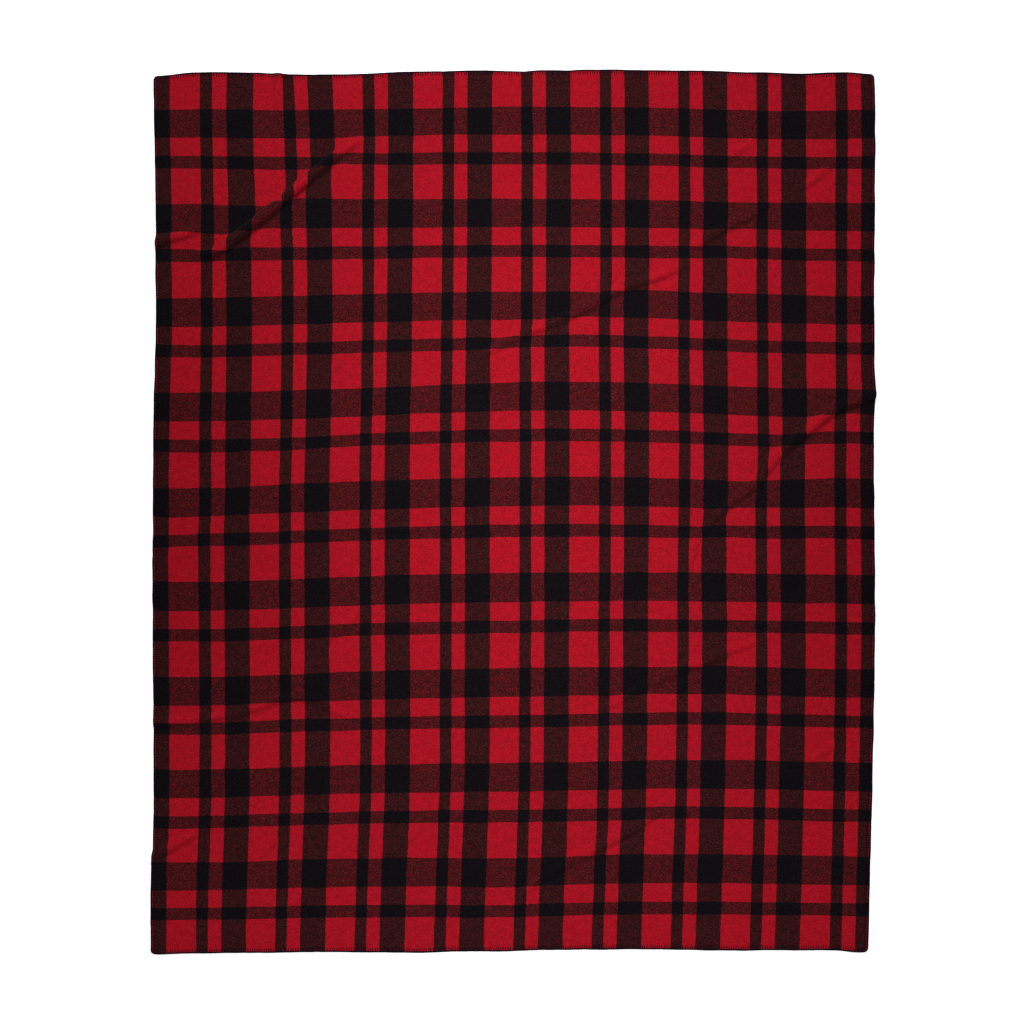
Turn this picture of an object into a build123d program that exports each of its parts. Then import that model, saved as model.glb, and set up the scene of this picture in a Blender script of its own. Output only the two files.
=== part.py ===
"""Camp blanket: one fulled wool panel laid flat, its edge bound on all four sides by a blanket stitch.

Millimetres. The origin is at the middle of the underside, +Z up, +Y towards the head edge.
"""

import os
from math import copysign

from build123d import *

os.makedirs("parts", exist_ok=True)

# Driving dimensions
INCH = 25.4
blanket_width = 54 * INCH
blanket_length = 66 * INCH
cloth_thickness = 4.0
pressed_thickness = 2.4  # the cloth where the stitch squeezes it
purl_width = 3.2  # yarn that lies along the rim, outside the cloth
leg_length = 5.4  # yarn that reaches in over both faces
corner_radius = 8.0

# Worked out from them
press_depth = (cloth_thickness - pressed_thickness) / 2
stitch_depth = purl_width + leg_length
cloth_width = blanket_width - 2 * purl_width
cloth_length = blanket_length - 2 * purl_width
unpressed_width = blanket_width - 2 * stitch_depth
unpressed_length = blanket_length - 2 * stitch_depth
cloth_corner_radius = corner_radius - purl_width

# Soft folds left in the laid cloth: the crest's route in plan, its height above the cloth and its width.
# Each rises from nothing at its ends.
fold_sink = 1.0
fold_end_share = 0.15
head_left_fold = {
    "route": [(-655, 505), (-590, 530), (-495, 532), (-415, 592), (-330, 668), (-285, 712)],
    "height": 13.0,
    "width": 56.0,
}
head_right_fold = {
    "route": [(430, 536), (330, 455), (218, 415), (78, 350), (-36, 288)],
    "height": 8.0,
    "width": 60.0,
}
middle_right_fold = {
    "route": [(650, 197), (612, 180), (472, 72), (390, -10), (345, -106), (307, -207)],
    "height": 10.0,
    "width": 60.0,
}
middle_short_fold = {
    "route": [(486, -250), (383, -288), (295, -321), (206, -372)],
    "height": 6.0,
    "width": 56.0,
}
foot_right_fold = {
    "route": [(295, -568), (244, -612), (154, -658), (34, -728)],
    "height": 6.0,
    "width": 56.0,
}
foot_left_fold = {
    "route": [(-640, -417), (-543, -398), (-466, -390), (-404, -366), (-352, -382)],
    "height": 6.0,
    "width": 50.0,
}
folds = [
    head_left_fold,
    head_right_fold,
    middle_right_fold,
    middle_short_fold,
    foot_right_fold,
    foot_left_fold,
]


def crest_direction(crest, index):
    """The way the crest runs at one of its points: from the point before to the point after."""
    before = crest[max(index - 1, 0)]
    after = crest[min(index + 1, len(crest) - 1)]
    return after - before


def fold_sections(route, height, width):
    """Arched sections across a fold's crest, one at each point of its route, lowest at its two ends."""
    crest = [Vector(x, y, cloth_thickness) for x, y in route]
    sections = []
    for index, point in enumerate(crest):
        share = fold_end_share if index in (0, len(crest) - 1) else 1.0
        along = crest_direction(crest, index)
        half_width = width / 2 * (1 + share) / 2
        with BuildSketch(Plane(origin=point, x_dir=Vector(0, 0, 1).cross(along), z_dir=along)) as section:
            with BuildLine():
                arch = ThreePointArc((-half_width, -fold_sink), (0, height * share), (half_width, -fold_sink))
                Line(arch @ 1, arch @ 0)
            make_face()
        sections.append(section.sketch)
    return sections


with BuildPart() as woven_panel:
    with BuildSketch(Plane.XY.offset(press_depth)):
        RectangleRounded(cloth_width, cloth_length, cloth_corner_radius)
    extrude(amount=pressed_thickness)
    with BuildSketch():
        Rectangle(unpressed_width, unpressed_length)
    extrude(amount=cloth_thickness)
    for fold in folds:
        loft(sections=fold_sections(**fold), ruled=True)
woven_panel.part.label = "woven_panel"
export_step(woven_panel.part, "parts/woven_panel.step")


def side_outline(across_x, across_y):
    """A side's share of the border, mitred at both corners, as the polygon that keeps it."""
    half_width = blanket_width / 2
    half_length = blanket_length / 2
    if across_y:
        outer = [(-half_width, across_y * half_length), (half_width, across_y * half_length)]
    else:
        outer = [(across_x * half_width, -half_length), (across_x * half_width, half_length)]
    inner = []
    for x, y in reversed(outer):
        inner.append((x - copysign(stitch_depth, x), y - copysign(stitch_depth, y)))
    return outer + inner


# Each side's stitch is one run of yarn: a purl along the rim and legs on both faces, here as one channel.
sides = {
    "head": (0, 1),
    "foot": (0, -1),
    "left": (-1, 0),
    "right": (1, 0),
}
for side, (across_x, across_y) in sides.items():
    with BuildPart() as edge_stitch:
        with BuildSketch():
            RectangleRounded(blanket_width, blanket_length, corner_radius)
            Polygon(*side_outline(across_x, across_y), align=None, mode=Mode.INTERSECT)
        extrude(amount=cloth_thickness)
        with BuildSketch(Plane.XY.offset(press_depth)):
            RectangleRounded(cloth_width, cloth_length, cloth_corner_radius)
        extrude(amount=pressed_thickness, mode=Mode.SUBTRACT)
    edge_stitch.part.label = f"edge_stitch_{side}"
    export_step(edge_stitch.part, f"parts/edge_stitch_{side}.step")
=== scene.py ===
"""Camp blanket laid flat: one fulled wool panel in a red and black plaid, with a black yarn blanket stitch
over all four edges.

Laid out as an add-on: property groups hold the sizes and colours, one operator makes each piece or group of
like pieces, and a sidebar panel lists them. Metres, +Z up, +Y towards the head edge.
"""

import math

import bpy
import numpy as np
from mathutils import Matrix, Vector


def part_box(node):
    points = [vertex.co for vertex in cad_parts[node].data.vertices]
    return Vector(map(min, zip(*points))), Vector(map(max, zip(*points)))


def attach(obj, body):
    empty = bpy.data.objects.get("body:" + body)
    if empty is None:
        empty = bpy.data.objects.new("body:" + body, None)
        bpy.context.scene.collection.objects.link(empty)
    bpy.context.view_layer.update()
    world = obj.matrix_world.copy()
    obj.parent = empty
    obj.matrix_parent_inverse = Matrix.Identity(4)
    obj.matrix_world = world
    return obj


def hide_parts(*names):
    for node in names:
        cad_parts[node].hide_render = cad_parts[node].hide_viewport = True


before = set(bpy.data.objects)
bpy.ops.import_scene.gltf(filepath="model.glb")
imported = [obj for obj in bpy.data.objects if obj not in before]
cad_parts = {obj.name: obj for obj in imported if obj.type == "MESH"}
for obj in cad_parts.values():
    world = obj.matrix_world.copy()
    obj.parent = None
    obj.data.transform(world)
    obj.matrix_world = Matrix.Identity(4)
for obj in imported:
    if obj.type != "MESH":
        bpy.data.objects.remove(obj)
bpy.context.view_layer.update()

bl_info = {
    "name": "Camp Blanket",
    "version": (1, 0, 0),
    "blender": (4, 5, 0),
    "location": "View3D > Sidebar > Camp Blanket",
    "description": "A plaid wool camp blanket with blanket-stitched edges, laid flat in soft folds",
    "category": "Object",
}

BODY = "root"
MM = 0.001
SEED = 7
TINY = 1e-9

# Sizes read from the frame.
PANEL_LOW, PANEL_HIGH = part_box("woven_panel")
HEAD_LOW, HEAD_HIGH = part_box("edge_stitch_head")
CLOTH_WIDTH = PANEL_HIGH.x - PANEL_LOW.x
CLOTH_LENGTH = PANEL_HIGH.y - PANEL_LOW.y
HALF_CLOTH = np.array([CLOTH_WIDTH, CLOTH_LENGTH]) / 2
CLOTH_THICKNESS = HEAD_HIGH.z - HEAD_LOW.z
STITCH_DEPTH = HEAD_HIGH.y - HEAD_LOW.y
PURL_WIDTH = HEAD_HIGH.y - PANEL_HIGH.y
LEG_LENGTH = STITCH_DEPTH - PURL_WIDTH
CORNER_RADIUS = 4.8 * MM
PRESSED_THICKNESS = 2.4 * MM

# How the laid cloth lies: a little off the middle, a little shorter than its cut for its small ripples, and
# drawn a little out of square by pulls. Each pull has its middle, how far it reaches across and along, and
# how far it moves the cloth.
LAID_MIDDLE = (2.1 * MM, 0.9 * MM)
LAID_SHORTER = 0.0008
PULLS = (
    {"middle": (0.15, -1.00), "reach": (0.85, 0.40), "move": (-0.018, 0.0)},
    {"middle": (-0.15, 0.70), "reach": (0.50, 0.45), "move": (0.009, 0.0)},
    {"middle": (0.00, -1.80), "reach": (0.50, 2.00), "move": (0.010, 0.0)},
    {"middle": (-0.64, 0.75), "reach": (0.12, 0.20), "move": (-0.006, 0.0)},
    {"middle": (-0.40, 0.40), "reach": (0.20, 0.20), "move": (0.003, 0.0)},
    {"middle": (0.00, 0.55), "reach": (0.20, 0.30), "move": (-0.0015, 0.0)},
    {"middle": (0.28, 0.12), "reach": (0.20, 0.15), "move": (0.002, 0.0)},
    {"middle": (-0.67, 0.00), "reach": (0.12, 0.25), "move": (-0.0025, 0.0)},
    {"middle": (-0.30, -0.50), "reach": (0.30, 0.15), "move": (0.0025, 0.0)},
    {"middle": (0.10, 0.20), "reach": (0.40, 0.47), "move": (0.0, 0.015)},
    {"middle": (-0.62, -0.33), "reach": (0.24, 0.57), "move": (0.0, -0.011)},
    {"middle": (0.37, -0.50), "reach": (0.30, 0.35), "move": (0.0, 0.008)},
    {"middle": (0.63, 0.08), "reach": (0.09, 0.20), "move": (0.0, 0.006)},
    {"middle": (-0.25, 0.65), "reach": (0.42, 0.15), "move": (0.0, 0.003)},
    {"middle": (0.50, 0.74), "reach": (0.15, 0.14), "move": (0.0, -0.004)},
    {"middle": (-0.60, 0.38), "reach": (0.20, 0.12), "move": (0.0, -0.0025)},
    {"middle": (-0.60, 0.72), "reach": (0.20, 0.12), "move": (0.0, 0.0035)},
    {"middle": (-0.40, 0.47), "reach": (0.12, 0.08), "move": (0.0, -0.0015)},
    {"middle": (-0.64, 0.10), "reach": (0.10, 1.20), "move": (-0.0011, 0.0)},
    {"middle": (-0.64, -0.72), "reach": (0.10, 0.12), "move": (-0.002, 0.0)},
    {"middle": (-0.03, -0.72), "reach": (0.08, 0.08), "move": (0.0, -0.003)},
    {"middle": (-0.64, -0.68), "reach": (0.08, 0.10), "move": (0.0, -0.0015)},
)

# Where an edge lies a little in or out of line.
EDGE_PULLS = (
    {"middle": (-0.69, 0.84), "reach": (0.065, 0.05), "move": (0.0, -0.0078)},
    {"middle": (-0.60, 0.84), "reach": (0.05, 0.05), "move": (0.0, 0.0012)},
    {"middle": (-0.43, 0.84), "reach": (0.05, 0.05), "move": (0.0, -0.0014)},
    {"middle": (-0.34, 0.84), "reach": (0.10, 0.05), "move": (0.0, -0.0045)},
    {"middle": (-0.10, 0.84), "reach": (0.12, 0.05), "move": (0.0, 0.0015)},
    {"middle": (0.00, 0.84), "reach": (2.00, 0.04), "move": (0.0, 0.0008)},
    {"middle": (0.00, -0.84), "reach": (2.00, 0.04), "move": (0.0, -0.001)},
    {"middle": (0.69, -0.20), "reach": (0.04, 0.90), "move": (0.0016, 0.0)},
    {"middle": (0.70, 0.215), "reach": (0.05, 0.03), "move": (0.0036, 0.0)},
    {"middle": (0.54, 0.84), "reach": (0.04, 0.05), "move": (0.0, -0.003)},
    {"middle": (0.68, 0.84), "reach": (0.03, 0.05), "move": (0.0, -0.0035)},
    {"middle": (-0.68, 0.62), "reach": (0.06, 0.16), "move": (0.003, 0.0)},
    {"middle": (-0.68, 0.36), "reach": (0.06, 0.12), "move": (0.0035, 0.0)},
    {"middle": (0.69, 0.70), "reach": (0.06, 0.20), "move": (0.003, 0.0)},
    {"middle": (0.69, -0.15), "reach": (0.06, 0.25), "move": (0.0025, 0.0)},
    {"middle": (-0.67, -0.84), "reach": (0.03, 0.05), "move": (0.0, -0.0035)},
    {"middle": (-0.20, -0.84), "reach": (0.12, 0.05), "move": (0.0, -0.003)},
    {"middle": (0.42, -0.84), "reach": (0.12, 0.05), "move": (0.0, -0.0025)},
    {"middle": (0.67, -0.84), "reach": (0.03, 0.05), "move": (0.0, -0.004)},
)

# Soft folds: the crest's route over the laid cloth, from left to right, and its height in millimetres at each
# point.
FOLDS = (
    {
        "route": (
            (-0.619, 0.487), (-0.565, 0.497), (-0.494, 0.548), (-0.427, 0.603), (-0.335, 0.681),
            (-0.268, 0.725),
        ),
        "height": (0, 11, 16, 17, 12, 0),
    },
    {
        "route": ((-0.702, 0.508), (-0.657, 0.521), (-0.612, 0.535), (-0.582, 0.548)),
        "height": (9, 10, 7, 0),
    },
    {
        "route": (
            (-0.082, 0.283), (-0.044, 0.305), (0.013, 0.335), (0.118, 0.379), (0.213, 0.428),
            (0.280, 0.451), (0.368, 0.485),
        ),
        "height": (0, 3.6, 6.6, 8.4, 7.8, 7.2, 0),
    },
    {
        "route": ((0.323, 0.495), (0.373, 0.523), (0.428, 0.553), (0.464, 0.573), (0.518, 0.606)),
        "height": (0, 7.2, 7.8, 6, 0),
    },
    {"route": ((0.385, 0.658), (0.423, 0.685), (0.480, 0.723)), "height": (0, 4.2, 0)},
    {"route": ((0.533, 0.606), (0.581, 0.640), (0.632, 0.678)), "height": (0, 4.2, 0)},
    {
        "route": (
            (0.303, -0.227), (0.332, -0.127), (0.351, -0.057), (0.407, 0.011), (0.464, 0.057),
            (0.508, 0.110), (0.558, 0.152), (0.613, 0.194), (0.657, 0.213), (0.703, 0.228),
        ),
        "height": (0, 3, 4.8, 7.2, 8.4, 9, 9.6, 10.2, 10.8, 10.8),
    },
    {
        "route": (
            (0.128, -0.397), (0.185, -0.369), (0.287, -0.315), (0.379, -0.280), (0.428, -0.259),
            (0.489, -0.242),
        ),
        "height": (0, 3.6, 6, 6.6, 4.8, 0),
    },
    {
        "route": (
            (-0.702, -0.402), (-0.634, -0.399), (-0.529, -0.383), (-0.432, -0.355), (-0.382, -0.352),
            (-0.339, -0.377), (-0.282, -0.392),
        ),
        "height": (7.2, 6, 5.4, 6.6, 6, 4.8, 0),
    },
    {
        "route": ((-0.702, -0.665), (-0.657, -0.641), (-0.600, -0.609), (-0.567, -0.590)),
        "height": (7.2, 7.2, 4.8, 0),
    },
    {
        "route": (
            (-0.012, -0.747), (0.027, -0.721), (0.089, -0.679), (0.166, -0.638), (0.242, -0.598),
            (0.308, -0.552),
        ),
        "height": (0, 3, 4.8, 6, 6, 0),
    },
    {"route": ((-0.143, 0.263), (-0.181, 0.352), (-0.139, 0.406)), "height": (0, 3, 0)},
    {"route": ((-0.358, 0.250), (-0.320, 0.295), (-0.276, 0.333)), "height": (0, 3, 0)},
    {"route": ((-0.397, -0.287), (-0.317, -0.212), (-0.247, -0.167)), "height": (0, 4.8, 0)},
    {"route": ((-0.491, -0.672), (-0.451, -0.622), (-0.406, -0.569)), "height": (0, 3.6, 0)},
    {"route": ((-0.234, -0.668), (-0.196, -0.622), (-0.149, -0.569)), "height": (0, 3.6, 0)},
    {"route": ((0.556, -0.482), (0.594, -0.455), (0.632, -0.428)), "height": (0, 4.2, 0)},
    {"route": ((-0.292, -0.039), (-0.202, -0.033), (-0.122, -0.031)), "height": (0, 3, 0)},
    {"route": ((-0.122, 0.231), (-0.052, 0.238), (0.028, 0.250)), "height": (0, 3.6, 0)},
    {"route": ((-0.449, 0.738), (-0.447, 0.796), (-0.445, 0.863)), "height": (0, 4.8, 10.8)},
)

# A fold's two flanks, each as its least length and how much longer it grows with the fold's height.
LEFT_FLANK = (10 * MM, 0.9)
RIGHT_FLANK = (9 * MM, 1.1)
STEEPEST_FLANK = math.radians(85)
# How far past its flanks a fold still draws the cloth, and how soon its pull evens out along the crest, as a
# share of the distance from it.
FOLD_REACH = 0.22
FAR_BLUR = 0.35

# The cloth then settles on the floor by simulation.
BLANKET_MASS = 1.5
SETTLE_FRAMES = 10
SETTLE_MOST = 3 * MM
SETTLE_GAP = 0.25 * CLOTH_THICKNESS
GROUND_SIZE = 4.0
GROUND_FRICTION = 80
WOOL_SETTINGS = {
    "quality": 6,
    "tension_stiffness": 80,
    "compression_stiffness": 80,
    "shear_stiffness": 40,
    "bending_stiffness": 2,
    "tension_damping": 20,
    "compression_damping": 20,
    "shear_damping": 20,
    "bending_damping": 2,
    "air_damping": 5,
}

# Last come the small waves that fulled wool keeps: wanders within the cloth and swells above the floor.
WANDER_WAVES = {"count": 12, "shortest": 0.05, "longest": 0.25}
WANDER_SIZE = 0.8 * MM
SWELL_WAVES = {"count": 30, "shortest": 0.05, "longest": 0.30}
SWELL_SIZE = 0.9 * MM


def select_only(piece):
    """Leaves this piece alone selected and active."""
    bpy.ops.object.select_all(action="DESELECT")
    piece.select_set(True)
    bpy.context.view_layer.objects.active = piece


def apply_modifiers(piece):
    """Applies all of the piece's modifiers, from the top of its stack down."""
    select_only(piece)
    for modifier in list(piece.modifiers):
        bpy.ops.object.modifier_apply(modifier=modifier.name)


def places(points):
    """The points of a mesh or a shape key as rows of x, y, z."""
    found = np.empty(len(points) * 3)
    points.foreach_get("co", found)
    return found.reshape(-1, 3)


def set_places(points, rows):
    """Puts the points of a mesh or a shape key at these rows of x, y, z."""
    points.foreach_set("co", rows.astype(np.float32).ravel())


def move_to(mesh, rows):
    """Moves a mesh's points to these rows of x, y, z."""
    set_places(mesh.vertices, rows)
    mesh.update()


# ---------------------------------------------------------------- the lie of the cloth


def smooth_route(route, height, step=3 * MM):
    """A smooth line through the route's points and its height along it (Catmull-Rom)."""
    points = np.column_stack([np.array(route), np.array(height) * MM])
    padded = np.vstack([2 * points[0] - points[1], points, 2 * points[-1] - points[-2]])
    padded[0, 2], padded[-1, 2] = points[0, 2], points[-1, 2]
    line = []
    for before, start, end, after in zip(padded, padded[1:], padded[2:], padded[3:]):
        count = max(2, int(np.linalg.norm(end[:2] - start[:2]) / step))
        t = (np.arange(count) / count)[:, None]
        once = (end - before) * t
        twice = (2 * before - 5 * start + 4 * end - after) * t**2
        thrice = (3 * start - before - 3 * end + after) * t**3
        line.append(0.5 * (2 * start + once + twice + thrice))
    line = np.vstack(line + [points[-1:]])
    line[:, 2] = np.maximum(line[:, 2], 0)
    return line


def bent_flank(share, steepest, steps=16):
    """How far a flank has run sideways and dropped, after this share of its length. Its slope grows to
    steepest at mid-flank and is level again at its foot."""
    run, drop = np.zeros_like(share), np.zeros_like(share)
    for step in range(steps):
        slope = steepest * np.sin(math.pi * share * (step + 0.5) / steps)
        run += np.cos(slope) * share / steps
        drop += np.sin(slope) * share / steps
    return run, drop


SLOPES = np.linspace(0, STEEPEST_FLANK, 60)
FULL_DROPS = bent_flank(np.ones_like(SLOPES), SLOPES)[1]


def flank_moves(distance, height, flank):
    """How far a flank draws in and lifts the cloth this far from the crest."""
    least, growth = flank
    length = least + growth * height
    steepest = np.interp(height / length, FULL_DROPS, SLOPES)
    run, drop = bent_flank(np.minimum(distance / length, 1), steepest)
    return np.minimum(distance, length) - run * length, height - drop * length


def fold_moves(flat, fold):
    """How far one fold moves each point of the cloth. Lengths across the fold are kept, and past its flanks
    the pull fades and evens out."""
    line = smooth_route(**fold)
    squares = ((flat[:, None, :2] - line[None, :, :2]) ** 2).sum(axis=2)
    near = np.argmin(squares, axis=1)
    nearest = squares.min(axis=1)
    along = np.gradient(line[:, :2], axis=0)
    along /= np.linalg.norm(along, axis=1)[:, None]
    right = np.column_stack([along[:, 1], -along[:, 0]])
    away = ((flat[:, :2] - line[near, :2]) * right[near]).sum(axis=1)
    moves = np.zeros_like(flat)
    for side, flank in ((-1, LEFT_FLANK), (1, RIGHT_FLANK)):
        on_side = np.flatnonzero(side * away >= 0)
        height = line[near[on_side], 2]
        distance = np.abs(away[on_side])
        shift, lift = flank_moves(distance, height, flank)
        whole_shift = flank_moves(np.full(len(line), 1.0), line[:, 2], flank)[0][:, None] * right
        blur = 2 * FAR_BLUR**2 * nearest[on_side] + TINY
        share = np.exp((nearest[on_side, None] - squares[on_side]) / blur[:, None])
        far_shift = share @ whole_shift / share.sum(axis=1)[:, None]
        length = flank[0] + flank[1] * height
        past = np.maximum(distance - length, 0)
        near_share = np.exp(-((past / length) ** 2))[:, None]
        drawn = near_share * right[near[on_side]] * shift[:, None] + (1 - near_share) * far_shift
        moves[on_side, :2] = -side * drawn * np.exp(-past / FOLD_REACH)[:, None]
        moves[on_side, 2] = lift
    return moves


def ripples(flat, draws, count, shortest, longest):
    """A gentle wave field, seldom past -1 or 1: this many waves of these lengths, in every direction."""
    total = np.zeros(len(flat))
    for _ in range(count):
        length = shortest * (longest / shortest) ** draws.random()
        turn, phase = draws.random() * 2 * math.pi, draws.random() * 2 * math.pi
        across = flat[:, 0] * math.cos(turn) + flat[:, 1] * math.sin(turn)
        total += np.sin(2 * math.pi * across / length + phase)
    return total / math.sqrt(2 * count) / 1.5


def laid_places(flat):
    """Where each point of the flat cloth is laid: drawn by the pulls, then folded."""
    laid = flat.copy()
    laid[:, 1] *= 1 - LAID_SHORTER
    laid[:, :2] += LAID_MIDDLE
    for pull in PULLS + EDGE_PULLS:
        away = (flat[:, :2] - np.array(pull["middle"])) / np.array(pull["reach"])
        laid[:, :2] += np.exp(-(away**2).sum(axis=1))[:, None] * np.array(pull["move"])
    folded = laid.copy()
    for fold in FOLDS:
        folded += fold_moves(laid, fold)
    return folded


def rippled(laid, flat):
    """The laid cloth with the gentle swells and wanders that fulled wool keeps."""
    draws = np.random.default_rng(SEED)
    wavy = laid.copy()
    for axis in (0, 1):
        wavy[:, axis] += WANDER_SIZE * ripples(flat, draws, **WANDER_WAVES)
    swell = ripples(flat, draws, **SWELL_WAVES)
    wavy[:, 2] += SWELL_SIZE * np.clip(1 + swell, 0, 2)
    return wavy


def settle(guide):
    """Lets the laid cloth settle on the floor by cloth simulation, its yarns keeping the lengths of the flat
    cut, and returns where its points come to lie, none more than SETTLE_MOST from where it was laid."""
    keys = guide.data.shape_keys.key_blocks
    laid = keys["laid"]
    laid.value = 1
    bpy.ops.mesh.primitive_plane_add(size=GROUND_SIZE, location=(0, 0, 0))
    ground = bpy.context.object
    ground.modifiers.new("ground", "COLLISION")
    ground.collision.thickness_outer = SETTLE_GAP
    ground.collision.cloth_friction = GROUND_FRICTION
    select_only(guide)
    cloth = guide.modifiers.new("settle", "CLOTH")
    cloth.settings.rest_shape_key = keys["flat"]
    cloth.settings.mass = BLANKET_MASS / len(guide.data.vertices)
    for name, value in WOOL_SETTINGS.items():
        setattr(cloth.settings, name, value)
    cloth.collision_settings.distance_min = SETTLE_GAP
    cloth.point_cache.frame_start = 1
    cloth.point_cache.frame_end = SETTLE_FRAMES
    for number in range(1, SETTLE_FRAMES + 1):
        bpy.context.scene.frame_set(number)
    bpy.ops.object.modifier_apply_as_shapekey(modifier=cloth.name)
    bpy.data.objects.remove(ground)
    start = places(laid.data)
    moves = places(keys[-1].data) - start
    guide.shape_key_remove(keys[-1])
    bpy.context.scene.frame_set(1)
    laid.value = 0
    far = np.linalg.norm(moves, axis=1)[:, None]
    return start + moves * np.minimum(1, SETTLE_MOST / np.maximum(far, TINY))


# ---------------------------------------------------------------- properties


class BlanketCloth(bpy.types.PropertyGroup):
    """The woven panel's sizes."""

    spacing: bpy.props.FloatProperty(
        name="Mesh spacing", description="Distance between the panel's mesh lines, away from the folds",
        default=8.6 * MM, min=0.004, subtype="DISTANCE", unit="LENGTH")
    refined_reach: bpy.props.FloatProperty(
        name="Fine mesh reach", description="How far from a fold's crest the mesh is twice as fine",
        default=32 * MM, min=0.0, subtype="DISTANCE", unit="LENGTH")


class BlanketStitch(bpy.types.PropertyGroup):
    """The edge stitch's sizes."""

    pitch: bpy.props.FloatProperty(
        name="Pitch", description="Distance from one stitch to the next along the edge",
        default=4.6 * MM, min=0.002, subtype="DISTANCE", unit="LENGTH")
    yarn: bpy.props.FloatProperty(
        name="Yarn", description="Diameter of the edge yarn",
        default=2.1 * MM, min=0.0005, subtype="DISTANCE", unit="LENGTH")
    unevenness: bpy.props.FloatProperty(
        name="Unevenness", description="How far a leg's inner end strays along the edge",
        default=0.5 * MM, min=0.0, subtype="DISTANCE", unit="LENGTH")


class BlanketColours(bpy.types.PropertyGroup):
    """The wool's two dyes, and the paler fibres among them."""

    red: bpy.props.FloatVectorProperty(
        name="Red wool", description="Colour of the red warp and weft",
        default=(0.390, 0.0013, 0.0129, 1), subtype="COLOR", size=4, min=0, max=1)
    black: bpy.props.FloatVectorProperty(
        name="Black wool", description="Colour of the black warp, weft and edge yarn",
        default=(0.0017, 0.0004, 0.0036, 1), subtype="COLOR", size=4, min=0, max=1)
    lint: bpy.props.FloatVectorProperty(
        name="Lint", description="Colour of the stray pale fibres",
        default=(0.22, 0.18, 0.18, 1), subtype="COLOR", size=4, min=0, max=1)
    undyed: bpy.props.FloatVectorProperty(
        name="Undyed wool", description="Colour of the few undyed fibres spun in",
        default=(0.50, 0.49, 0.19, 1), subtype="COLOR", size=4, min=0, max=1)


# ---------------------------------------------------------------- shader building


def new_group(name, inputs, outputs):
    """An empty node group. Each of its sockets is given as its name, its kind and its default, or None."""
    group = bpy.data.node_groups.new(name, "ShaderNodeTree")
    for direction, sockets in (("INPUT", inputs), ("OUTPUT", outputs)):
        for socket, kind, default in sockets:
            made = group.interface.new_socket(
                name=socket, in_out=direction, socket_type=f"NodeSocket{kind}")
            if default is not None:
                made.default_value = default
    return group


class Wiring:
    """Adds nodes to a tree and wires them up."""

    def __init__(self, tree):
        self.tree = tree

    def node(self, kind, inputs=None, **settings):
        """A new node with these settings. Each input is given a value, or a socket to be linked from."""
        made = self.tree.nodes.new(kind)
        for name, value in settings.items():
            setattr(made, name, value)
        for name, value in (inputs or {}).items():
            if isinstance(value, bpy.types.NodeSocket):
                self.tree.links.new(value, made.inputs[name])
            else:
                made.inputs[name].default_value = value
        return made

    def group(self, name, inputs):
        """The outputs of a shared node group, placed with these inputs."""
        return self.node("ShaderNodeGroup", inputs, node_tree=bpy.data.node_groups[name]).outputs

    def math(self, operation, first, second=0.0, third=None):
        """The result of one sum, product or other operation."""
        inputs = {0: first, 1: second}
        if third is not None:
            inputs[2] = third
        return self.node("ShaderNodeMath", inputs, operation=operation).outputs[0]

    def parts(self, vector):
        """A vector's X, Y and Z."""
        return self.node("ShaderNodeSeparateXYZ", {"Vector": vector}).outputs

    def noise(self, vector, scale, detail, roughness=0.5, distortion=0.0):
        """A noise pattern with this many features a metre."""
        values = {
            "Vector": vector,
            "Scale": scale,
            "Detail": detail,
            "Roughness": roughness,
            "Distortion": distortion,
        }
        return self.node("ShaderNodeTexNoise", values).outputs["Fac"]

    def ramp(self, value, low, high, to_low=0.0, to_high=1.0):
        """value's share of the way from low to high, smoothly, as a number between the other two."""
        values = {"Value": value, "From Min": low, "From Max": high, "To Min": to_low, "To Max": to_high}
        return self.node("ShaderNodeMapRange", values, interpolation_type="SMOOTHSTEP").outputs[0]

    def mix(self, share, first, second, how="MIX"):
        """This share of the second colour laid over the first."""
        values = {"Factor": share, 6: first, 7: second}
        return self.node("ShaderNodeMix", values, data_type="RGBA", blend_type=how).outputs[2]


# The plaid's bands, each as red, black, red, black. The warp counts from the left edge to the right and the
# weft from the head edge to the foot.
BAND_NAMES = ("First red", "First black", "Second red", "Second black")
WARP_BANDS = (56.1 * MM, 22.4 * MM, 25.1 * MM, 47.7 * MM)
WEFT_BANDS = (66.4 * MM, 54.2 * MM, 34.2 * MM, 23.6 * MM)
WARP_START = 28.3 * MM
WEFT_START = 2.6 * MM
HEAD_RED = WEFT_START + 4 * MM
BAND_SOFTNESS = 1.0 * MM
SELVEDGE_EDGE = (1.5 * MM, 3.2 * MM)

# How much of the red shows where only the warp or only the weft is red, how much of it at the selvedges, and
# how much of the undyed fibres at the most.
WARP_SHOWS = 0.132
WEFT_SHOWS = 0.060
SELVEDGE_SHOWS = 0.6
MOST_UNDYED = 0.043

# The wool's grain: the twill's yarn and how far its ribs stray, then how many of each feature lie in a metre.
TWILL_YARN = 1.75 * MM
RIB_WANDER = 2.2 * MM
RIB_WANDERS = 260.0
MOTTLES = 95.0
SPECKLES = 420.0
FIBRES = 610.0
STRANDS = 1300.0
STRAND_TURNS = (0.5, -0.8, 1.9)
STRAND_STRETCH = (1, 0.16, 1)
LINT_DOTS = 11.0
LINT_EDGE = (0.006, 0.010)
NAP_HEIGHTS = (0.8, 1.9)
PLY_TWIST = 1.1 * MM


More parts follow.
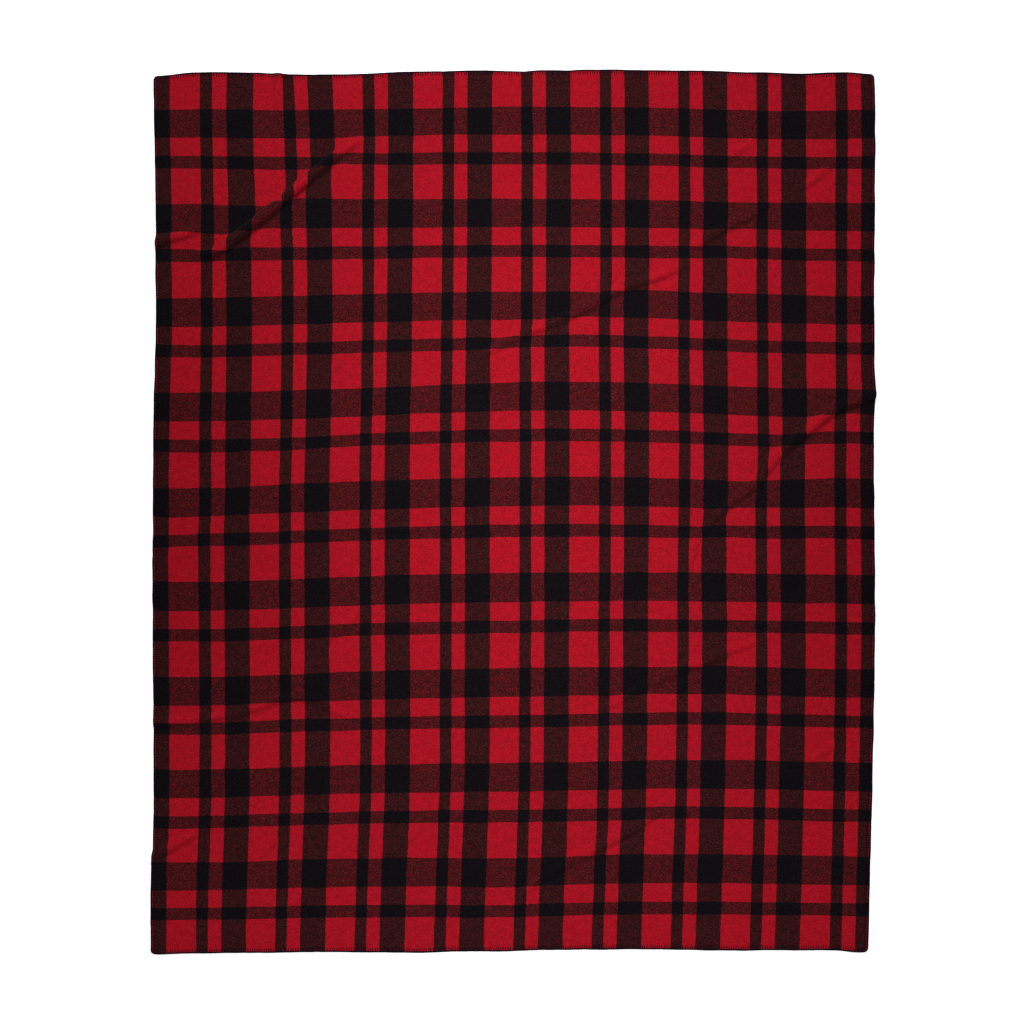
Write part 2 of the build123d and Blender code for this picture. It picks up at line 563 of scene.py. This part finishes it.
def bands_group():
    """Two red bands in each repeat of the plaid, counted along one direction: 1 on red yarn, 0 on black."""
    names = ("Place", "Start", *BAND_NAMES, "Softness")
    group = new_group("plaid_bands", [(name, "Float", 0.0) for name in names], [("Red", "Float", None)])
    wires = Wiring(group)
    given = wires.node("NodeGroupInput").outputs
    half_black = wires.math("MULTIPLY", given["Second black"], 0.5)
    from_start = wires.math("ADD", wires.math("SUBTRACT", given["Place"], given["Start"]), half_black)
    reds = wires.math("ADD", given["First red"], given["Second red"])
    repeat = wires.math("ADD", wires.math("ADD", reds, given["First black"]), given["Second black"])
    within = wires.math("FLOORED_MODULO", from_start, repeat)

    def band(start, width):
        """1 inside one band, with edges as soft as the yarn."""
        rise = wires.math("DIVIDE", wires.math("SUBTRACT", within, start), given["Softness"])
        left = wires.math("SUBTRACT", wires.math("ADD", start, width), within)
        fall = wires.math("DIVIDE", left, given["Softness"])
        return wires.math("MULTIPLY", wires.ramp(rise, -0.5, 0.5), wires.ramp(fall, -0.5, 0.5))

    second_start = wires.math("ADD", wires.math("ADD", half_black, given["First red"]), given["First black"])
    first_band = band(half_black, given["First red"])
    second_band = band(second_start, given["Second red"])
    wires.node("NodeGroupOutput", {"Red": wires.math("ADD", first_band, second_band)})
    return group


def twill_group():
    """A two-and-two twill: its diagonal ribs, from 0 in a furrow to 1 on a rib, worn irregular by fulling."""
    inputs = [("Place", "Vector", None), ("Yarn", "Float", TWILL_YARN)]
    group = new_group("twill_ribs", inputs, [("Rib", "Float", None)])
    wires = Wiring(group)
    given = wires.node("NodeGroupInput").outputs
    parts = wires.parts(given["Place"])
    diagonal = wires.math("ADD", parts["X"], parts["Y"])
    wander = wires.noise(given["Place"], RIB_WANDERS, 1.0)
    diagonal = wires.math("MULTIPLY_ADD", wander, RIB_WANDER, diagonal)
    four_yarns = wires.math("MULTIPLY", given["Yarn"], 4.0)
    phase = wires.math("MULTIPLY", wires.math("DIVIDE", diagonal, four_yarns), 2 * math.pi)
    rib = wires.math("MULTIPLY_ADD", wires.math("SINE", phase), 0.5, 0.5)
    wires.node("NodeGroupOutput", {"Rib": rib})
    return group


def nap_group():
    """Raised and felted wool: wide mottling, short specks, single fibres, the height of the mottling, the
    specks and combed strands, and dots of pale lint."""
    names = ("Mottle", "Speckle", "Fibre", "Height", "Lint")
    outputs = [(name, "Float", None) for name in names]
    group = new_group("wool_nap", [("Place", "Vector", None)], outputs)
    wires = Wiring(group)
    place = wires.node("NodeGroupInput").outputs["Place"]
    mottle = wires.noise(place, MOTTLES, 3.0, 0.6)
    speckle = wires.noise(place, SPECKLES, 2.0, 0.65)
    strand = None
    for turn in STRAND_TURNS:
        values = {"Vector": place, "Rotation": (0, 0, turn), "Scale": STRAND_STRETCH}
        combed = wires.node("ShaderNodeMapping", values).outputs[0]
        wavy = wires.noise(combed, STRANDS, 1.0, 0.5, distortion=0.6)
        strand = wavy if strand is None else wires.math("MAXIMUM", strand, wavy)
    height = wires.math("MULTIPLY_ADD", speckle, 0.6, mottle)
    height = wires.math("MULTIPLY_ADD", strand, 0.9, height)
    dots = wires.node("ShaderNodeTexVoronoi", {"Vector": place, "Scale": LINT_DOTS}, feature="F1")
    lint = wires.ramp(dots.outputs["Distance"], *LINT_EDGE, 1.0, 0.0)
    fibre = wires.noise(place, FIBRES, 1.0, 0.5)
    found = (mottle, speckle, fibre, height, lint)
    wires.node("NodeGroupOutput", dict(zip(names, found)))
    return group


def new_material(name):
    """A new material, the wiring of its nodes, and its Principled shader."""
    material = bpy.data.materials.new(name)
    material.use_nodes = True
    return material, Wiring(material.node_tree), material.node_tree.nodes["Principled BSDF"]


def finish_wool(wires, shader, colour, roughness, relief, strength, depth):
    """Wires up the shader's colour and roughness, and a bump of this strength and depth from the relief."""
    bump = wires.node("ShaderNodeBump", {"Height": relief, "Strength": strength, "Distance": depth})
    found = {"Base Color": colour, "Roughness": roughness, "Normal": bump.outputs["Normal"]}
    for name, socket in found.items():
        wires.tree.links.new(socket, shader.inputs[name])


def plaid_material(name):
    """Fulled and napped two-and-two twill in the red and black plaid, on the cloth's flat cut."""
    colours = bpy.context.scene.blanket_colours
    material, wires, shader = new_material(name)
    cut = wires.node("ShaderNodeUVMap", uv_map="flat_cut").outputs["UV"]
    parts = wires.parts(cut)
    nap = wires.group("wool_nap", {"Place": cut})
    rib = wires.group("twill_ribs", {"Place": cut})["Rib"]
    ragged = wires.math("MULTIPLY", nap["Speckle"], 1.6 * MM)
    ragged = wires.math("MULTIPLY_ADD", rib, 0.4 * MM, ragged)
    ragged = wires.math("SUBTRACT", ragged, 1.0 * MM)

    def bands(place, start, widths):
        """1 on the red bands and 0 on the black ones, with edges as ragged as the yarn."""
        values = {"Place": wires.math("ADD", place, ragged), "Start": start, "Softness": BAND_SOFTNESS}
        values.update(zip(BAND_NAMES, widths))
        return wires.group("plaid_bands", values)["Red"]

    warp = bands(parts["X"], WARP_START, WARP_BANDS)
    # The first red of the weft runs on to the head rim.
    from_head = wires.math("SUBTRACT", CLOTH_LENGTH, parts["Y"])
    weft = bands(wires.math("MAXIMUM", from_head, HEAD_RED), WEFT_START, WEFT_BANDS)
    both = wires.math("MULTIPLY", warp, weft)

    # Where the two yarns differ, red shows as specks along the twill: more of the warp than of the weft.
    speck = wires.ramp(nap["Speckle"], 0.30, 0.72, 0.2, 2.2)
    speck = wires.math("MULTIPLY", speck, wires.math("MULTIPLY_ADD", rib, 0.36, 0.82))
    clouded = wires.ramp(nap["Mottle"], 0.3, 0.7, 0.78, 1.22)
    warp_only = wires.math("MULTIPLY", wires.math("SUBTRACT", warp, both), WARP_SHOWS)
    weft_only = wires.math("MULTIPLY", wires.math("SUBTRACT", weft, both), WEFT_SHOWS)
    mixed = wires.math("ADD", warp_only, weft_only)
    mixed = wires.math("MULTIPLY", mixed, wires.math("MULTIPLY", speck, clouded))

    # At the two selvedges the weft turns back and covers the warp.
    from_side = wires.math("MINIMUM", parts["X"], wires.math("SUBTRACT", CLOTH_WIDTH, parts["X"]))
    selvedge = wires.math("MULTIPLY", wires.ramp(from_side, *SELVEDGE_EDGE, SELVEDGE_SHOWS, 0.0), weft)
    share = wires.math("MAXIMUM", wires.math("ADD", both, mixed), selvedge)
    colour = wires.mix(share, tuple(colours.black), tuple(colours.red))

    # A few undyed fibres, most where the two colours are blended.
    blended = wires.math("SUBTRACT", wires.math("ADD", warp, weft), wires.math("MULTIPLY", both, 2.0))
    pale = wires.ramp(nap["Fibre"], 0.47, 0.74, 0.0, MOST_UNDYED)
    most = wires.math("MULTIPLY_ADD", both, 0.4, wires.math("MULTIPLY_ADD", blended, 0.7, 0.6))
    colour = wires.mix(wires.math("MULTIPLY", pale, most), colour, tuple(colours.undyed))

    # Felting and brushing leave all of it a little uneven, and lint lies on top.
    felted = wires.ramp(nap["Mottle"], 0.3, 0.7, 0.88, 1.12)
    brushed = wires.ramp(nap["Speckle"], 0.30, 0.70, 0.68, 1.32)
    colour = wires.mix(1.0, colour, wires.math("MULTIPLY", felted, brushed), "MULTIPLY")
    colour = wires.mix(nap["Lint"], colour, tuple(colours.lint))

    relief = wires.math("MULTIPLY_ADD", rib, 0.25, nap["Height"])
    roughness = wires.ramp(nap["Height"], *NAP_HEIGHTS, 0.86, 0.98)
    finish_wool(wires, shader, colour, roughness, relief, strength=0.8, depth=0.7 * MM)
    shader.inputs["Specular IOR Level"].default_value = 0.08
    shader.inputs["Sheen Weight"].default_value = 0.05
    shader.inputs["Sheen Roughness"].default_value = 0.45
    shader.inputs["Sheen Tint"].default_value = (0.9, 0.55, 0.55, 1)
    return material


def yarn_material(name):
    """Black plied yarn: a two-ply twist round the stitch and loose fuzz."""
    colours = bpy.context.scene.blanket_colours
    material, wires, shader = new_material(name)
    place = wires.node("ShaderNodeTexCoord").outputs["Object"]
    nap = wires.group("wool_nap", {"Place": place})
    parts = wires.parts(place)
    diagonal = wires.math("ADD", wires.math("ADD", parts["X"], parts["Y"]), parts["Z"])
    ply = wires.math("SINE", wires.math("MULTIPLY", diagonal, 2 * math.pi / PLY_TWIST))
    shade = wires.ramp(nap["Speckle"], 0.25, 0.75, 0.5, 2.2)
    lighter = tuple(min(1, 2.0 * c) for c in colours.black[:3]) + (1,)
    colour = wires.mix(wires.math("MULTIPLY", shade, 0.45), tuple(colours.black), lighter)
    relief = wires.math("MULTIPLY_ADD", ply, 0.3, nap["Height"])
    roughness = wires.ramp(nap["Height"], *NAP_HEIGHTS, 0.82, 0.96)
    finish_wool(wires, shader, colour, roughness, relief, strength=0.6, depth=0.3 * MM)
    shader.inputs["Specular IOR Level"].default_value = 0.08
    shader.inputs["Sheen Weight"].default_value = 0.03
    shader.inputs["Sheen Roughness"].default_value = 0.5
    return material


# ---------------------------------------------------------------- the panel


# A mesh line in the pressed border, where the cloth starts to swell, and how soon it is full, as shares of a
# leg's length.
PRESS_LINE = 0.45
SWELL_START = 1.1
SWELL_LENGTH = 1.5
RIM_BEVEL = 0.8 * MM


def mesh_lines(length, spacing):
    """Places of the mesh lines across a side: three from each rim over the pressed border, then even ones."""
    rim = np.array([0.0, PRESS_LINE * LEG_LENGTH, LEG_LENGTH])
    count = round((length - 2 * LEG_LENGTH) / spacing)
    inside = np.linspace(LEG_LENGTH, length - LEG_LENGTH, count + 1)[1:-1]
    return np.concatenate([rim, inside, length - rim[::-1]]) - length / 2


def near_a_fold(points, reach, step=8 * MM):
    """Which points lie within reach of a fold's crest."""
    near = np.zeros(len(points), bool)
    for fold in FOLDS:
        line = smooth_route(**fold, step=step)[:, :2]
        distance = np.sqrt(((points[:, None, :2] - line[None]) ** 2).sum(axis=2)).min(axis=1)
        near |= distance < reach
    return near


def flat_sheet(name):
    """The cloth's middle surface, flat, with its corners rounded and finer where the folds will be."""
    sizes = bpy.context.scene.blanket_cloth
    across = mesh_lines(CLOTH_WIDTH, sizes.spacing)
    along = mesh_lines(CLOTH_LENGTH, sizes.spacing)
    columns, rows = len(across) - 1, len(along) - 1
    bpy.ops.object.select_all(action="DESELECT")
    bpy.ops.mesh.primitive_grid_add(x_subdivisions=columns, y_subdivisions=rows, size=1)
    sheet = bpy.context.object
    sheet.name = name
    points = places(sheet.data.vertices)
    points[:, 0] = across[np.rint((points[:, 0] + 0.5) * columns).astype(int)]
    points[:, 1] = along[np.rint((points[:, 1] + 0.5) * rows).astype(int)]
    points[:, 2] = CLOTH_THICKNESS / 2
    move_to(sheet.data, points)

    centres = np.empty(len(sheet.data.polygons) * 3)
    sheet.data.polygons.foreach_get("center", centres)
    fine = near_a_fold(centres.reshape(-1, 3), sizes.refined_reach)
    bpy.context.tool_settings.mesh_select_mode = (False, False, True)
    bpy.ops.object.mode_set(mode="EDIT")
    bpy.ops.mesh.select_all(action="DESELECT")
    bpy.ops.object.mode_set(mode="OBJECT")
    sheet.data.polygons.foreach_set("select", fine)
    bpy.ops.object.mode_set(mode="EDIT")
    bpy.ops.mesh.subdivide(number_cuts=1)
    bpy.ops.mesh.select_all(action="DESELECT")
    bpy.ops.mesh.select_face_by_sides(number=4, type="GREATER", extend=False)
    bpy.ops.mesh.quads_convert_to_tris()
    bpy.ops.object.mode_set(mode="OBJECT")
    round_corners(sheet.data)
    flat_cut(sheet.data)
    return sheet


def round_corners(mesh):
    """Moves what lies past a corner's arc in onto it."""
    points = places(mesh.vertices)
    inner = HALF_CLOTH - CORNER_RADIUS
    past = np.abs(points[:, :2]) - inner
    at_corner = (past > 0).all(axis=1)
    reach = np.linalg.norm(past[at_corner], axis=1)
    square = past[at_corner].max(axis=1)
    past[at_corner] *= (square / reach)[:, None]
    points[at_corner, :2] = np.sign(points[at_corner, :2]) * (inner + past[at_corner])
    move_to(mesh, points)


def flat_cut(mesh):
    """The flat cut in metres, from the foot edge's left corner, as a UV map."""
    points = places(mesh.vertices)[:, :2] + HALF_CLOTH
    corners = np.empty(len(mesh.loops), np.int32)
    mesh.loops.foreach_get("vertex_index", corners)
    while mesh.uv_layers:
        mesh.uv_layers.remove(mesh.uv_layers[0])
    layer = mesh.uv_layers.new(name="flat_cut")
    layer.data.foreach_set("uv", points[corners].astype(np.float32).ravel())


def pressed_share(points):
    """The cloth's thickness at each point as a share of its full thickness, less under the stitch."""
    from_rim = (HALF_CLOTH - np.abs(points[:, :2])).min(axis=1)
    share = np.clip((from_rim - SWELL_START * LEG_LENGTH) / (SWELL_LENGTH * LEG_LENGTH), 0, 1)
    pressed = PRESSED_THICKNESS / CLOTH_THICKNESS
    return pressed + (1 - pressed) * np.sin(share * math.pi / 2)


class BLANKET_OT_woven_panel(bpy.types.Operator):
    """Weave the panel, press its border, and lay it in its pulls and soft folds to settle"""

    bl_idname = "blanket.woven_panel"
    bl_label = "Woven panel"

    def execute(self, context):
        bands_group()
        twill_group()
        nap_group()
        guide = flat_sheet("laying_guide")
        flat = places(guide.data.vertices)
        guide.shape_key_add(name="flat", from_mix=False)
        laid = guide.shape_key_add(name="laid", from_mix=False)
        folded = laid_places(flat)
        set_places(laid.data, folded)
        folded = settle(guide)
        folded = rippled(folded, flat)
        set_places(laid.data, folded)

        panel = guide.copy()
        panel.data = guide.data.copy()
        panel.name = "wool_panel"
        context.collection.objects.link(panel)
        select_only(panel)
        panel.shape_key_clear()
        move_to(panel.data, folded)
        group = panel.vertex_groups.new(name="pressed")
        for index, share in enumerate(pressed_share(flat)):
            group.add([index], share, "REPLACE")
        thicken = panel.modifiers.new("thickness", "SOLIDIFY")
        thicken.thickness = CLOTH_THICKNESS
        thicken.offset = 0
        thicken.vertex_group = group.name
        thicken.use_even_offset = False
        round_rim = panel.modifiers.new("rim", "BEVEL")
        round_rim.width = RIM_BEVEL
        round_rim.segments = 2
        round_rim.limit_method = "ANGLE"
        round_rim.angle_limit = math.radians(60)
        apply_modifiers(panel)
        bpy.ops.object.shade_smooth()
        panel.data.materials.clear()
        panel.data.materials.append(plaid_material("plaid_wool"))
        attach(panel, BODY)
        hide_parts("woven_panel")
        return {"FINISHED"}


# ---------------------------------------------------------------- the edge stitch


# How a stitch lies: the share of the yarn's thickness that sinks into the cloth, how much plumper the purl is
# than its width, its waist as a share of its knots, and a leg's lean along the edge and variation in length.
SINK = 0.2
PURL_PLUMP = 0.4 * MM
PURL_WAIST = 0.86
LEG_LEAN = 0.2 * MM
LEG_VARIATION = 0.06


def one_stitch(pitch, yarn):
    """One stitch at the origin as a mesh: a leg over each face, joined round the rim, and the purl that runs
    on to the next stitch. +X is along the edge, +Y in over the cloth, and the rim is at y = 0."""
    half = PRESSED_THICKNESS / 2
    over = half - SINK * yarn
    purl_radius = 0.5 * (PURL_WIDTH + PURL_PLUMP)
    out = PURL_WIDTH - purl_radius
    # The upper leg, from its inner end, buried in the cloth, out to the rim.
    leg = [
        (0, LEG_LENGTH + 0.25 * yarn, 0.2 * half),
        (0, LEG_LENGTH - 0.10 * yarn, 0.95 * over),
        (0, 0.5 * LEG_LENGTH, 1.1 * over),
        (0, 0.05 * LEG_LENGTH, over),
        (0, -0.7 * out, 0.7 * over),
    ]
    wrap = leg + [(0, -out, 0)] + [(x, y, -z) for x, y, z in reversed(leg)]
    purl = [
        (0, -0.8 * out, 0),
        (0.3 * pitch, -out, 0.12 * yarn),
        (0.7 * pitch, -out, -0.12 * yarn),
        (pitch, -0.8 * out, 0),
    ]
    curve = bpy.data.curves.new("stitch", "CURVE")
    curve.dimensions = "3D"
    curve.bevel_depth = yarn / 2
    curve.bevel_resolution = 1
    curve.use_fill_caps = True
    knot = 2 * purl_radius / yarn
    waist = PURL_WAIST * knot
    for route, thickness in ((wrap, [1.0] * len(wrap)), (purl, [knot, waist, waist, knot])):
        spline = curve.splines.new("POLY")
        spline.points.add(len(route) - 1)
        for point, at, radius in zip(spline.points, route, thickness):
            point.co = (*at, 1)
            point.radius = radius
    stitch = bpy.data.objects.new("stitch", curve)
    bpy.context.collection.objects.link(stitch)
    select_only(stitch)
    bpy.ops.object.convert(target="MESH")
    return bpy.context.object


def bend_round_corners(points, straight):
    """Bends a straight run's two ends round the cloth's rounded corners, an eighth of a circle at each."""
    bent = points.copy()
    for end in (-1, 1):
        past = end * points[:, 0] - straight / 2
        on_arc = past > 0
        turn = past[on_arc] / CORNER_RADIUS
        radius = CORNER_RADIUS - points[on_arc, 1]
        bent[on_arc, 0] = end * (straight / 2 + radius * np.sin(turn))
        bent[on_arc, 1] = CORNER_RADIUS - radius * np.cos(turn)
    return bent


def stitch_run(name, side_length, from_middle, turn, draws):
    """One side's whole run of stitches on the flat cloth, as a mesh in place."""
    sizes = bpy.context.scene.blanket_stitch
    straight = side_length - 2 * CORNER_RADIUS
    whole = straight + CORNER_RADIUS * math.pi / 2
    count = round(whole / sizes.pitch)
    pitch = whole / count
    run = one_stitch(pitch, sizes.yarn)
    run.name = name
    repeat = run.modifiers.new("repeat", "ARRAY")
    repeat.count = count
    repeat.use_relative_offset = False
    repeat.use_constant_offset = True
    repeat.constant_offset_displace = (pitch, 0, 0)
    each = len(run.data.vertices)
    apply_modifiers(run)
    points = places(run.data.vertices)
    number = np.arange(len(points)) // each
    inwards = np.clip(points[:, 1] / LEG_LENGTH, 0, 1)
    lean = draws.normal(0, sizes.unevenness, count) + LEG_LEAN
    stretch = draws.normal(1, LEG_VARIATION, count)
    points[:, 0] += lean[number] * inwards + (0.5 - count / 2) * pitch
    points[:, 1] *= np.where(points[:, 1] > 0, stretch[number], 1)
    points = bend_round_corners(points, straight)
    x = points[:, 0].copy()
    y = points[:, 1] - from_middle
    points[:, 0] = x * math.cos(turn) - y * math.sin(turn)
    points[:, 1] = x * math.sin(turn) + y * math.cos(turn)
    points[:, 2] += CLOTH_THICKNESS / 2
    move_to(run.data, points)
    return run


class BLANKET_OT_edge_stitch(bpy.types.Operator):
    """Work the blanket stitch over the four edges of the flat cloth, then carry it with the laid cloth"""

    bl_idname = "blanket.edge_stitch"
    bl_label = "Edge stitch"

    def execute(self, context):
        guide = bpy.data.objects["laying_guide"]
        laid = guide.data.shape_keys.key_blocks["laid"]
        draws = np.random.default_rng(SEED + 1)
        material = yarn_material("black_yarn")
        half_width, half_length = HALF_CLOTH
        runs = (
            ("foot", CLOTH_WIDTH, half_length, 0.0),
            ("right", CLOTH_LENGTH, half_width, math.pi / 2),
            ("head", CLOTH_WIDTH, half_length, math.pi),
            ("left", CLOTH_LENGTH, half_width, -math.pi / 2),
        )
        for side, length, from_middle, turn in runs:
            laid.value = 0
            run = stitch_run(f"{side}_edge_yarn", length, from_middle, turn, draws)
            carry = run.modifiers.new("carry", "SURFACE_DEFORM")
            carry.target = guide
            select_only(run)
            bpy.ops.object.surfacedeform_bind(modifier=carry.name)
            if not carry.is_bound:
                raise RuntimeError(f"the {side} edge stitch couldn't be bound to the cloth")
            laid.value = 1
            context.view_layer.update()
            apply_modifiers(run)
            bpy.ops.object.shade_smooth()
            run.data.materials.append(material)
            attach(run, BODY)
            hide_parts(f"edge_stitch_{side}")
        bpy.data.objects.remove(guide)
        return {"FINISHED"}


# ---------------------------------------------------------------- stage


def aim(lamp, target):
    """Turns a lamp to face the target, and keeps it out of the camera's sight."""
    lamp.rotation_euler = (Vector(target) - lamp.location).to_track_quat("-Z", "Y").to_euler()
    lamp.visible_camera = False


# Soft pools of light from overhead: name, place, watts, cone in degrees, and how far the cone is drawn out.
POOLS = (
    ("wide_pool", (0.08, 0.0, 4.4), 190, 34, (0.8, 1.6, 1)),
    ("middle_pool", (0.05, 0.15, 4.4), 260, 16, (1.0, 1.2, 1)),
    ("foot_pool", (0.0, -0.9, 4.4), 250, 30, (1.4, 0.8, 1)),
)
POOL_SOFTNESS = 0.3

# The key light leans in from beyond the head edge.
KEY_PLACE = (-0.2, 2.2, 2.6)
KEY_TARGET = (0.08, -0.2, 0)
KEY_SIZE = (1.0, 0.8)
KEY_POWER = 68

# The room around the blanket.
BACKDROP_REACH = 9.0
FLOOR_GLOW = 0.60
BACKDROP_GLOW = 0.85
ROOM_LIGHT = 0.08

# The camera looks straight down, and its view is this wide at the floor.
CAMERA_HEIGHT = 4.6
VIEW_WIDTH = 1.950
SENSOR_WIDTH = 36
FAR_CLIP = 30


def pale_material(name, glow):
    """Matt near-white that glows a little of itself, so that it shows white in soft light."""
    material = bpy.data.materials.new(name)
    material.use_nodes = True
    shader = material.node_tree.nodes["Principled BSDF"]
    shader.inputs["Base Color"].default_value = (0.9, 0.9, 0.9, 1)
    shader.inputs["Roughness"].default_value = 0.9
    shader.inputs["Emission Color"].default_value = (1, 1, 1, 1)
    shader.inputs["Emission Strength"].default_value = glow
    return material


class BLANKET_OT_stage(bpy.types.Operator):
    """Set the pale floor and backdrop, the soft lights and the camera straight above"""

    bl_idname = "blanket.stage"
    bl_label = "Stage"

    def execute(self, context):
        bpy.ops.mesh.primitive_plane_add(size=2 * BACKDROP_REACH, location=(0, 0, 0))
        floor = context.object
        floor.name = "floor"
        floor.data.materials.append(pale_material("pale_floor", FLOOR_GLOW))
        bpy.ops.mesh.primitive_uv_sphere_add(
            segments=64, ring_count=32, radius=BACKDROP_REACH, location=(0, 0, 0))
        backdrop = context.object
        backdrop.name = "backdrop"
        backdrop.data.materials.append(pale_material("pale_backdrop", BACKDROP_GLOW))
        # Only the camera sees the backdrop: it lights and shades nothing.
        backdrop.visible_diffuse = False
        backdrop.visible_glossy = False
        backdrop.visible_shadow = False

        world = bpy.data.worlds.new("soft_room")
        context.scene.world = world
        world.use_nodes = True
        room = world.node_tree.nodes["Background"]
        room.inputs["Color"].default_value = (1, 1, 1, 1)
        room.inputs["Strength"].default_value = ROOM_LIGHT
        for name, place, power, cone, scale in POOLS:
            bpy.ops.object.light_add(type="SPOT", location=place)
            pool = context.object
            pool.name = name
            pool.data.spot_size = math.radians(cone)
            pool.data.spot_blend = 1.0
            pool.data.shadow_soft_size = POOL_SOFTNESS
            pool.data.energy = power
            pool.scale = scale
            aim(pool, (place[0], place[1], 0))
        bpy.ops.object.light_add(type="AREA", location=KEY_PLACE)
        key = context.object
        key.name = "key"
        key.data.shape = "RECTANGLE"
        key.data.size, key.data.size_y = KEY_SIZE
        key.data.energy = KEY_POWER
        aim(key, KEY_TARGET)

        bpy.ops.object.camera_add(location=(0, 0, CAMERA_HEIGHT))
        camera = context.object
        camera.data.sensor_width = SENSOR_WIDTH
        camera.data.lens = SENSOR_WIDTH * CAMERA_HEIGHT / VIEW_WIDTH
        camera.data.clip_end = FAR_CLIP
        context.scene.camera = camera
        context.scene.view_settings.view_transform = "Standard"
        context.scene.view_settings.look = "None"
        return {"FINISHED"}


# ---------------------------------------------------------------- add-on


class BLANKET_PT_sidebar(bpy.types.Panel):
    """Lists the steps that make the blanket"""

    bl_idname = "BLANKET_PT_sidebar"
    bl_label = "Camp Blanket"
    bl_space_type = "VIEW_3D"
    bl_region_type = "UI"
    bl_category = "Camp Blanket"

    def draw(self, context):
        scene = context.scene
        rows = (
            (scene.blanket_cloth, ("spacing", "refined_reach")),
            (scene.blanket_stitch, ("pitch", "yarn", "unevenness")),
            (scene.blanket_colours, ("red", "black", "lint", "undyed")),
        )
        for settings, names in rows:
            for name in names:
                self.layout.prop(settings, name)
        for step in (BLANKET_OT_woven_panel, BLANKET_OT_edge_stitch, BLANKET_OT_stage):
            self.layout.operator(step.bl_idname)


CLASSES = (
    BlanketCloth,
    BlanketStitch,
    BlanketColours,
    BLANKET_OT_woven_panel,
    BLANKET_OT_edge_stitch,
    BLANKET_OT_stage,
    BLANKET_PT_sidebar,
)


def register():
    for cls in CLASSES:
        bpy.utils.register_class(cls)
    bpy.types.Scene.blanket_cloth = bpy.props.PointerProperty(type=BlanketCloth)
    bpy.types.Scene.blanket_stitch = bpy.props.PointerProperty(type=BlanketStitch)
    bpy.types.Scene.blanket_colours = bpy.props.PointerProperty(type=BlanketColours)


def unregister():
    del bpy.types.Scene.blanket_colours
    del bpy.types.Scene.blanket_stitch
    del bpy.types.Scene.blanket_cloth
    for cls in reversed(CLASSES):
        bpy.utils.unregister_class(cls)


def main():
    register()
    bpy.ops.blanket.woven_panel()
    bpy.ops.blanket.edge_stitch()
    bpy.ops.blanket.stage()


if __name__ == "__main__":
    main()
